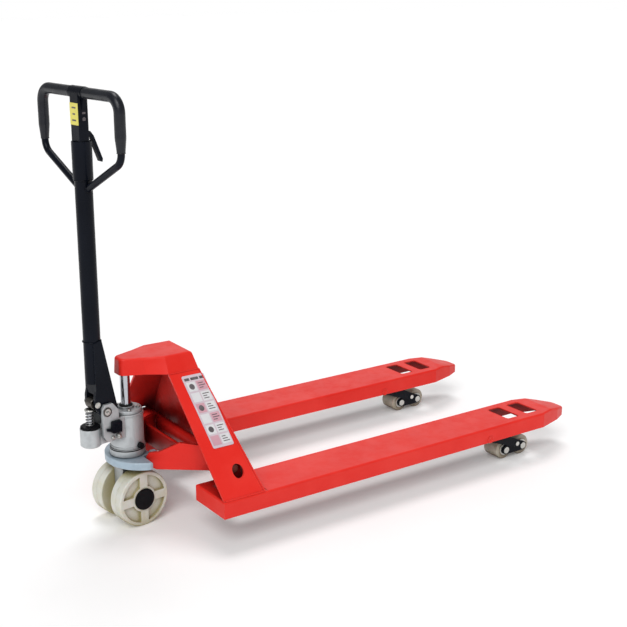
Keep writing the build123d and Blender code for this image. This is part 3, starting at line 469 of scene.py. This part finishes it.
# ==== welds ========================================================================================

# the tower's outline, in millimetres
PANEL_FOOT_REAR_X = 113.0
APRON_FOOT_X = 240.0
PANEL_FOOT_Y = 338.0
FORK_INNER_Y = 188.5
HOOD_LIP_Z = 435.0
PANEL_TOP_REAR_X = 92.0
PANEL_TOP_FRONT_X = 186.0
PANEL_TOP_Y = 86.0
FORK_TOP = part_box("fork_left")[1].z / MM


def tower_welds():
    """The beads along the tower's feet, its front corners and under the hood."""
    maker = bmesh.new()
    foot_z = FORK_TOP + 0.5
    for side in (LEFT, RIGHT):
        rear = fixed(PANEL_FOOT_REAR_X + 4, side * PANEL_FOOT_Y, foot_z)
        corner = fixed(APRON_FOOT_X, side * PANEL_FOOT_Y, foot_z)
        inner = fixed(APRON_FOOT_X, side * (FORK_INNER_Y + 2), foot_z)
        top = fixed(PANEL_TOP_FRONT_X, side * PANEL_TOP_Y, HOOD_LIP_Z)
        top_rear = fixed(PANEL_TOP_REAR_X, side * PANEL_TOP_Y, HOOD_LIP_Z)
        sweep(maker, line(rear, corner), bead_size(2.4))
        sweep(maker, line(corner, inner), bead_size(2.4))
        sweep(maker, line(corner, top), bead_size(2.2, 7.0))
        sweep(maker, line(top_rear, top), bead_size(1.8))
    add_piece("tower_welds", maker, RED, "frame")


# where the rocker's two splayed arms start and end, and the tube that they cross
ARM_REAR_X, ARM_REAR_Y = 44.0, 64.0
ARM_FRONT_X, ARM_FRONT_Y = 186.0, 174.0
ARM_HALF_THICKNESS = 5.0
ROCKER_TUBE_Z = 197.0
ROCKER_TUBE_RADIUS = 21.0


def rocker_welds():
    """Closed beads where the two splayed arms cross the rocker's tube."""
    maker = bmesh.new()
    slope = (ARM_FRONT_Y - ARM_REAR_Y) / (ARM_FRONT_X - ARM_REAR_X)
    half_gap = ARM_HALF_THICKNESS * math.hypot(1, slope)
    count = 72
    for side in (LEFT, RIGHT):
        for face in (-1, 1):
            places = []
            for k in range(count):
                turn = 2 * math.pi * k / count
                x = ARM_FRONT_X + ROCKER_TUBE_RADIUS * math.cos(turn)
                y = ARM_FRONT_Y + slope * (x - ARM_FRONT_X) + face * half_gap
                places.append(fixed(x, side * y, ROCKER_TUBE_Z + ROCKER_TUBE_RADIUS * math.sin(turn)))
            sweep(maker, places, bead_size(2.2), closed=True)
    add_piece("rocker_welds", maker, RED, "rocker")


EAR_FACES_Y = (258.0, 266.0)
EAR_BEADS_X = ((161.0, 179.0), (193.0, 213.0))


def ear_welds():
    """The beads along the feet of the rocker's bearing plates."""
    maker = bmesh.new()
    for side in (LEFT, RIGHT):
        for y in EAR_FACES_Y:
            for start, end in EAR_BEADS_X:
                bead = line(fixed(start, side * y, FORK_TOP), fixed(end, side * y, FORK_TOP))
                sweep(maker, bead, bead_size(2.0))
    add_piece("ear_welds", maker, RED, "frame")


# the handle's tube, its socket and sleeve, and the roots of the loop's thin arms
TUBE_X = -98.0
TUBE_RADIUS = 23.5
SOCKET_TOP_Z = 547.0
SLEEVE_FOOT_Z = 984.0
LOOP_HALF_WIDTH = 184.0
LOOP_BOTTOM_Z = 1048.0
LOOP_ROOT_Y, LOOP_ROOT_Z = 22.0, 962.0
ARM_BEAD_Y = 24.0
ARM_BEAD_RADIUS = 9.8


def handle_welds():
    """The beads at the tube's socket and sleeve, and where the loop's thin arms meet the tube."""
    maker = bmesh.new()
    for z in (SOCKET_TOP_Z, SLEEVE_FOOT_Z):
        ring = circle(steered(TUBE_X, 0, z), STEERED_X, STEERED_Y, TUBE_RADIUS + 0.6, 90)
        sweep(maker, ring, bead_size(1.9), closed=True)
    rise = math.atan2(LOOP_BOTTOM_Z - LOOP_ROOT_Z, LOOP_HALF_WIDTH - LOOP_ROOT_Y)
    for side in (LEFT, RIGHT):
        heading = (STEERED_Y * side * math.cos(rise) + UP * math.sin(rise)).normalized()
        climb = UP * (ARM_BEAD_Y - LOOP_ROOT_Y) * math.tan(rise) * MM
        place = steered(TUBE_X, side * ARM_BEAD_Y, LOOP_ROOT_Z) + climb
        ring = circle(place, STEERED_X, heading.cross(STEERED_X), ARM_BEAD_RADIUS, 48)
        sweep(maker, ring, bead_size(1.9), closed=True)
    add_piece("handle_welds", maker, BLACK, "handle")


# ==== forks ========================================================================================

WINDOW_LENGTH = 50.0
WINDOW_WIDTH = 96.0
WINDOW_STARTS = (1164.0, 1246.0)
WINDOW_CORNER = 9.0
LIP_RADIUS = 1.9


def rounded_rectangle(x_span, y_span, corner, z):
    """Places round a rectangle with rounded corners, on the parts that don't steer."""
    places = []
    x_low, x_high = x_span
    y_low, y_high = y_span
    corners = ((x_high, y_high, 0), (x_low, y_high, 90), (x_low, y_low, 180), (x_high, y_low, 270))
    for x, y, start in corners:
        middle_x = x - math.copysign(corner, x - (x_low + x_high) / 2)
        middle_y = y - math.copysign(corner, y - (y_low + y_high) / 2)
        for step in range(7):
            turn = math.radians(start + 15 * step)
            places.append(fixed(middle_x + corner * math.cos(turn), middle_y + corner * math.sin(turn), z))
    return places


def window_lips():
    """The rolled lips round the windows over the load rollers."""
    maker = bmesh.new()
    spare = 0.6
    half = WINDOW_WIDTH / 2 + spare
    for name in ("fork_left", "fork_right"):
        middle = centre(name).y / MM
        for start in WINDOW_STARTS:
            x_span = (start - spare, start + WINDOW_LENGTH + spare)
            places = rounded_rectangle(x_span, (middle - half, middle + half), WINDOW_CORNER, FORK_TOP - 1.2)
            sweep(maker, places, LIP_RADIUS * MM, closed=True)
    add_piece("window_lips", maker, RED, "frame")


WASHER_PROFILE = [(12, 0), (12, 0.9), (11.2, 1.4), (8.6, 1.4), (8.0, 0.7), (4, 0.5), (3.2, 0.1), (3.2, 0)]


def pin_washers():
    """Spring washers on the ends of the pins that the load brackets turn on."""
    maker = bmesh.new()
    place = centre("bracket_pins")
    outer_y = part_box("bracket_pins")[1].y - 0.1 * MM
    fork_low, fork_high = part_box("fork_left")
    inner_y = outer_y - (fork_high.y - fork_low.y) + 0.2 * MM
    for side in (LEFT, RIGHT):
        for y, way in ((outer_y, 1), (inner_y, -1)):
            lathe(maker, Vector((place.x, side * y, place.z)), FIXED_Y * side * way, WASHER_PROFILE)
    add_piece("bracket_pin_washers", maker, RED, "frame")


# ==== pump =========================================================================================

GLAND_TOP_Z = 309.0
PLUNGER_X = -117.0
SPRING_COILS = 6.0
SPRING_WIRE = 1.25
SPRING_RADIUS = 11.0
END_SHARE = 0.14
END_HEIGHT = 0.055


def return_spring():
    """The coil round the plunger, with closed ends."""
    low = GLAND_TOP_Z + 1.3
    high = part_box("plunger_cap")[0].z / MM - 1.3
    places = []
    steps = 300
    for k in range(steps + 1):
        share = k / steps
        turn = 2 * math.pi * SPRING_COILS * share
        eased = min(1.0, max(0.0, (share - END_SHARE) / 0.72))
        foot = END_HEIGHT * min(1, share / END_SHARE)
        crown = END_HEIGHT * max(0, (share - 0.86) / END_SHARE)
        z = low + (high - low) * (foot + 0.89 * eased + crown)
        places.append(steered(PLUNGER_X + SPRING_RADIUS * math.cos(turn), SPRING_RADIUS * math.sin(turn), z))
    maker = bmesh.new()
    sweep(maker, places, SPRING_WIRE * MM)
    spring = add_piece("return_spring", maker, SPRING_STEEL, "pump")
    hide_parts("plunger_spring")
    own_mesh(spring)


def hexagon(maker, place, axis, across, height):
    """A hexagon head with a chamfered crown; sizes in millimetres."""
    radius = across / math.sqrt(3)
    lathe(maker, place, axis, [(radius, 0), (radius, height * 0.8), (radius * 0.9, height)], count=6)


# profiles of turned fittings, as (radius, distance along the axis) in millimetres
VALVE_PROFILE = [(7.5, -1), (7.5, 3), (5.0, 3.6), (5.0, 11), (4.2, 12)]
SCREW_PROFILE = [(3.2, -1), (3.2, 7.5), (2.4, 8.5)]
PIVOT_CLIP_PROFILE = [(9.4, -2.6), (13, -2.6), (13, -1.0), (12.2, -0.4), (9.4, -0.4)]
NIPPLE_PROFILE = [(3.4, -0.5), (3.4, 1.6), (2.2, 2.0), (2.2, 3.2), (3.0, 4.0), (2.6, 5.0), (1.2, 5.6)]
ROLLER_CLIP_PROFILE = [(5.2, -2.6), (8.6, -2.6), (8.6, -1.4), (7.8, -0.9), (5.2, -0.9)]

FITTINGS_FACE_Y = -38.0
PIVOT_X, PIVOT_Z = -84.0, 350.0
PIVOT_END_Y = 41.0
ROLLER_PIN_END = 30.0


def pump_fittings():
    """The lowering valve and the stop screw on the casting's right side, and the pivot pin's fittings."""
    maker = bmesh.new()
    out = -STEERED_Y
    valve = steered(-52, FITTINGS_FACE_Y, 274)
    lathe(maker, valve, out, VALVE_PROFILE, count=32)
    hexagon(maker, valve + out * 3.4 * MM, out, 13, 4.5)
    screw = steered(-70, FITTINGS_FACE_Y, 272)
    lathe(maker, screw, out, SCREW_PROFILE, count=24)
    hexagon(maker, screw + out * 0.2 * MM, out, 10, 3.6)
    add_piece("valve_fittings", maker, ZINC, "pump")

    maker = bmesh.new()
    for side in (LEFT, RIGHT):
        pin_end = steered(PIVOT_X, side * PIVOT_END_Y, PIVOT_Z)
        lathe(maker, pin_end, STEERED_Y * side, PIVOT_CLIP_PROFILE)
    add_piece("pivot_pin_clips", maker, DARK_STEEL, "pump")

    maker = bmesh.new()
    lathe(maker, steered(PIVOT_X, -PIVOT_END_Y, PIVOT_Z), out, NIPPLE_PROFILE, count=24)
    add_piece("pivot_grease_nipple", maker, ZINC, "pump")


SEAM_TURNS = (100, 260)
SEAM_RADIUS = 47.2
SEAM_SPAN_Z = (226.0, 322.0)
BEAD_HEIGHTS = (228.0, 318.0)


def casting_seams():
    """The mould's two parting lines down the reservoir, and the beads round its foot and its rim."""
    maker = bmesh.new()
    for turn in SEAM_TURNS:
        angle = math.radians(turn)
        x, y = SEAM_RADIUS * math.cos(angle), SEAM_RADIUS * math.sin(angle)
        low, high = (steered(x, y, z) for z in SEAM_SPAN_Z)
        sweep(maker, line(low, high, 4), 0.7 * MM, count=8)
    for z in BEAD_HEIGHTS:
        ring = circle(steered(0, 0, z), STEERED_X, STEERED_Y, SEAM_RADIUS, 96)
        sweep(maker, ring, 1.3 * MM, closed=True)
    add_piece("reservoir_beads", maker, SILVER, "pump")


def roller_pin_clips():
    """Bright retaining clips on the ends of the press roller's pin."""
    maker = bmesh.new()
    place = centre("press_roller_pin")
    for side in (LEFT, RIGHT):
        way = STEERED_Y * side
        lathe(maker, place + way * ROLLER_PIN_END * MM, way, ROLLER_CLIP_PROFILE, count=32)
    add_piece("roller_pin_clips", maker, ZINC, "handle")


# ==== handle =======================================================================================

LOOP_TOP_Z = 1208.0
GRIP_START_Y = 30.0
GRIP_FOOT_Z = 1072.0
GRIP_FOOT_RADIUS = 10.7
GRIP_RADIUS = 14.5


def grip_rims():
    """The moulded rims at both ends of each hand grip."""
    maker = bmesh.new()
    for side in (LEFT, RIGHT):
        start = steered(TUBE_X, side * (GRIP_START_Y + 3.4), LOOP_TOP_Z)
        sweep(maker, circle(start, STEERED_X, UP, GRIP_RADIUS - 0.6), 1.7 * MM, closed=True)
        foot = steered(TUBE_X, side * LOOP_HALF_WIDTH, GRIP_FOOT_Z + 1)
        sweep(maker, circle(foot, STEERED_X, STEERED_Y, GRIP_FOOT_RADIUS), 1.2 * MM, closed=True)
    add_piece("grip_rims", maker, GRIP, "handle")


HOUSING_REAR_X = TUBE_X - 16.5
HOUSING_HALF_WIDTH = 20.0
PLATE_THICKNESS = 1.0
PRINT_HEIGHT = 0.4
MARK_LENGTHS = (18, 12, 18)


def position_marks():
    """Three plain marks for the lever's positions: on the yellow plate and beside it."""
    top_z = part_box("position_label")[1].z / MM
    maker = bmesh.new()
    face_x = HOUSING_REAR_X - PLATE_THICKNESS + 0.1
    for index, length in enumerate(MARK_LENGTHS):
        z = top_z - 12 - 16 * index
        half = length / 2
        corners = ((-half, z - 2), (half, z - 2), (half, z + 2), (-half, z + 2))
        prism(maker, [steered(face_x, y, height) for y, height in corners], STEERED_X * -PRINT_HEIGHT * MM)
    add_piece("position_marks", maker, PRINT_GREY, "handle")

    maker = bmesh.new()
    face_y = -HOUSING_HALF_WIDTH + 0.1
    for index in range(len(MARK_LENGTHS)):
        z = top_z - 6 - 17 * index
        corners = ((-5, z - 5), (4, z - 5), (4, z + 2), (0, z + 5), (-5, z + 2))
        outline = [steered(TUBE_X + x, face_y, height) for x, height in corners]
        prism(maker, outline, STEERED_Y * -PRINT_HEIGHT * MM)
    add_piece("side_marks", maker, PRINT_GREY, "handle")


# ==== label on the side panel ======================================================================

# the label's rows, in millimetres along the panel from its foot, and its columns in x at the foot
LABEL_ROWS = 6
LABEL_FOOT = 158
LABEL_PITCH = 33
LABEL_FIELD_HEIGHT = 28
LABEL_COLUMNS = ((144, 170), (174, 202))
LABEL_HEAD = (356, 364)
LABEL_HEAD_BLOCKS = ((143, 158), (162, 186), (190, 202))
LABEL_LEAN = 0.062


def label_print():
    """Plain printed blocks on the side label: two columns of fields, discs and bars, with no lettering."""
    lean = math.atan2(PANEL_FOOT_Y - PANEL_TOP_Y, HOOD_LIP_Z - FORK_TOP)
    up_panel = Vector((0, math.sin(lean), math.cos(lean)))
    outward = Vector((0, -math.cos(lean), math.sin(lean)))
    foot = fixed(0, -PANEL_FOOT_Y, FORK_TOP) + outward * 1.05 * MM

    def place(x, height):
        """A point on the film; the label leans back as it rises."""
        return foot + Vector(((x - (height - 150) * LABEL_LEAN) * MM, 0, 0)) + up_panel * height * MM

    def field(maker, x_low, x_high, low, high, proud=0.2):
        """A printed rectangle."""
        corners = ((x_low, low), (x_high, low), (x_high, high), (x_low, high))
        prism(maker, [place(x, height) for x, height in corners], outward * proud * MM)

    white, pink, dark = bmesh.new(), bmesh.new(), bmesh.new()
    for x_low, x_high in LABEL_HEAD_BLOCKS:
        field(dark, x_low, x_high, *LABEL_HEAD)
    for row in range(LABEL_ROWS):
        low = LABEL_FOOT + LABEL_PITCH * row
        for column, (x_low, x_high) in enumerate(LABEL_COLUMNS):
            maker = white if (row + column) % 3 else pink
            field(maker, x_low, x_high, low, low + LABEL_FIELD_HEIGHT)
        if row % 2:
            turns = [math.radians(30 * k) for k in range(12)]
            disc = [place(157 + 8 * math.cos(turn), low + 14 + 9 * math.sin(turn)) for turn in turns]
            prism(dark, disc, outward * PRINT_HEIGHT * MM)
        for bar in range(3):
            bar_low = low + 6 + 7 * bar
            field(dark, 178, 198 - 4 * ((row + bar) % 3), bar_low, bar_low + 2.5, PRINT_HEIGHT)
    add_piece("label_fields", white, PRINT_WHITE, "frame")
    add_piece("label_bands", pink, PRINT_PINK, "frame")
    add_piece("label_marks", dark, PRINT_GREY, "frame")


# ==== wheels and rollers ===========================================================================

HUB_RING_PROFILE = [(26.5, 0), (26.5, 3.6), (25.6, 4.3), (23.4, 4.3), (22.6, 3.4), (12.6, 2.2), (11.8, 3.4),
                    (9.0, 3.8), (3.0, 3.8), (2.6, 2.6), (2.4, 0)]
TREAD_SEAM_PROFILE = [(80.2, -1.6), (80.5, -0.8), (80.5, 0.8), (80.2, 1.6), (79.2, 0), (80.2, -1.6)]
SHIELD_PROFILE = [(9.2, 0), (9.2, 0.4), (10.2, 0.9), (17.4, 0.9), (18.6, 0.4), (18.6, 0)]
SHIELD_OFFSET = 32.3


def wheel_details():
    """A raised ring and a dimple on each hub cap, and the mould's seam round each tread."""
    for side, word in ((LEFT, "left"), (RIGHT, "right")):
        way = STEERED_Y * side
        maker = bmesh.new()
        lathe(maker, centre("hub_cap_" + word) - way * MM, way, HUB_RING_PROFILE, count=56)
        add_piece("hub_ring_" + word, maker, HUB, "wheel_" + word)
        maker = bmesh.new()
        lathe(maker, centre("steer_wheel_" + word), way, TREAD_SEAM_PROFILE, count=96)
        add_piece("tread_seam_" + word, maker, NYLON, "wheel_" + word)


def roller_details():
    """Steel bearing shields in the ends of the load rollers."""
    for word in ("left", "right"):
        for place in ("rear", "front"):
            maker = bmesh.new()
            middle = centre(f"load_roller_{word}_{place}")
            for way in (FIXED_Y, -FIXED_Y):
                lathe(maker, middle + way * SHIELD_OFFSET * MM, way, SHIELD_PROFILE)
            add_piece(f"roller_shields_{word}_{place}", maker, ZINC, f"roller_{word}_{place}")


def build_details():
    """Every piece that is drawn here, over the CAD's own."""
    tower_welds()
    rocker_welds()
    ear_welds()
    handle_welds()
    window_lips()
    pin_washers()
    return_spring()
    pump_fittings()
    casting_seams()
    roller_pin_clips()
    grip_rims()
    position_marks()
    label_print()
    wheel_details()
    roller_details()


# ==== floor, light and camera ======================================================================

FLOOR_HALF = 30.0
FLOOR_GLOW = 0.10


def make_stage():
    """A plain pale floor that runs past the picture's edge."""
    mesh = bpy.data.meshes.new("floor")
    maker = bmesh.new()
    places = ((-FLOOR_HALF, -FLOOR_HALF), (FLOOR_HALF, -FLOOR_HALF), (FLOOR_HALF, FLOOR_HALF),
              (-FLOOR_HALF, FLOOR_HALF))
    maker.faces.new([maker.verts.new((x, y, FLOOR_Z)) for x, y in places])
    maker.to_mesh(mesh)
    floor = bpy.data.objects.new("floor", mesh)
    bpy.context.scene.collection.objects.link(floor)
    t = Tree("floor_paper")
    soft = t.ramp(t.noise(3, 4), 0.3, 0.7)
    base = t.mix(soft, (0.92, 0.92, 0.92), (0.94, 0.94, 0.94))
    mesh.materials.append(t.finish(Base_Color=base, Roughness=0.8, Specular_IOR_Level=0.2,
                                   Emission_Color=(1.0, 1.0, 1.0), Emission_Strength=FLOOR_GLOW))


# each light's name, the way towards it, the width of its disc in degrees and its strength
LIGHTS = (
    ("key_light", (-0.62, -0.62, 0.80), 40, 1.75),
    ("top_light", (0.15, 0.30, 1.0), 24, 1.0),
    ("back_light", (0.7, 0.9, 0.55), 50, 0.3),
)


def sun_light(name, towards_light, softness, strength):
    """A distant source with a wide disc, so that the floor is evenly lit to its edge."""
    data = bpy.data.lights.new(name, "SUN")
    data.angle = math.radians(softness)
    data.energy = strength
    lamp = bpy.data.objects.new(name, data)
    lamp.rotation_euler = Vector(towards_light).to_track_quat("Z", "Y").to_euler()
    bpy.context.scene.collection.objects.link(lamp)


def make_lights():
    """The suns, and a world that is white to the camera and dimmer as a light."""
    for light in LIGHTS:
        sun_light(*light)
    world = bpy.data.worlds.new("studio")
    world.use_nodes = True
    tree = world.node_tree
    background = tree.nodes["Background"]
    background.inputs["Color"].default_value = (1, 1, 1, 1)
    path = tree.nodes.new("ShaderNodeLightPath")
    strength = tree.nodes.new("ShaderNodeMapRange")
    strength.inputs["To Min"].default_value = WORLD_LIGHT
    strength.inputs["To Max"].default_value = WORLD_SEEN
    tree.links.new(path.outputs["Is Camera Ray"], strength.inputs["Value"])
    tree.links.new(strength.outputs["Result"], background.inputs["Strength"])
    bpy.context.scene.world = world


def make_camera():
    """The camera, from behind and to the right of the pump."""
    data = bpy.data.cameras.new("camera")
    data.lens = CAMERA_LENS
    data.sensor_width = SENSOR
    camera = bpy.data.objects.new("camera", data)
    camera.location = CAMERA_PLACE
    camera.rotation_euler = (Vector(CAMERA_AIM) - Vector(CAMERA_PLACE)).to_track_quat("-Z", "Y").to_euler()
    bpy.context.scene.collection.objects.link(camera)
    bpy.context.scene.camera = camera


build_details()
make_stage()
make_lights()
make_camera()
bpy.context.scene.view_settings.view_transform = "Standard"
